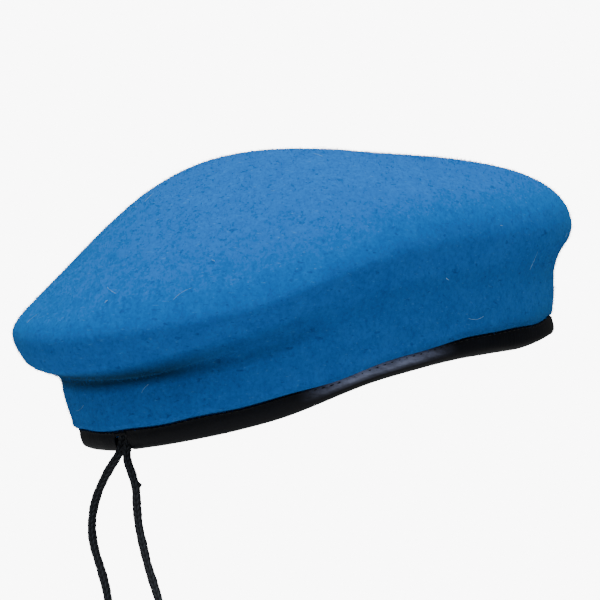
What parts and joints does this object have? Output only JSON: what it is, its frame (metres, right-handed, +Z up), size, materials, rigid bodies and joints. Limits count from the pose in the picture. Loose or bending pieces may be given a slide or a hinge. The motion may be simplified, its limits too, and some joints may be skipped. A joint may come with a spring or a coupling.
{
  "type": "beret",
  "caption": "Blue felted-wool beret with a narrow black leather binding, black lining and two braided drawcord tails hanging from the slot at the nape.",
  "frame": {"origin": "centre of the head opening, level with the lower edge of the binding at the front and back", "axes": "+X to the wearer's front, +Y to the wearer's left, +Z up; the band is tipped 17 degrees, nape down, as worn"},
  "size_m": [0.2432, 0.1945, 0.2298],
  "materials": {
    "felt": "milled wool felt, matt with a short nap",
    "leather": "smooth black leather, satin",
    "lining": "black satin lining",
    "braid": "round braided cotton cord, matt",
    "thread": "black sewing thread",
    "board": "stiff buckram board",
    "label": "blank woven tape"
  },
  "bodies": {
    "beret": {"crown_shell": "felt", "binding": "leather", "binding_thread_outside": "thread", "binding_thread_inside": "thread", "bar_tack": "thread", "lining_side": "lining", "lining_top": "lining", "lining_seam": "thread", "badge_stiffener": "board", "size_label": "label", "label_stitches": "thread", "drawcord_loop": "braid"},
    "left_cord_end": {"left_tail_root": "braid", "left_tail": "braid", "left_knot": "braid"},
    "right_cord_end": {"right_tail_root": "braid", "right_tail": "braid", "right_knot": "braid"}
  },
  "joints": [
    {"name": "left_tail_pull", "type": "slide", "parent": "beret", "child": "left_cord_end", "axis": [0.2, 0, -0.9798], "range_m": [0, 0.008]},
    {"name": "right_tail_pull", "type": "slide", "parent": "beret", "child": "right_cord_end", "axis": [0.2, 0, -0.9798], "range_m": [0, 0.008]}
  ]
}
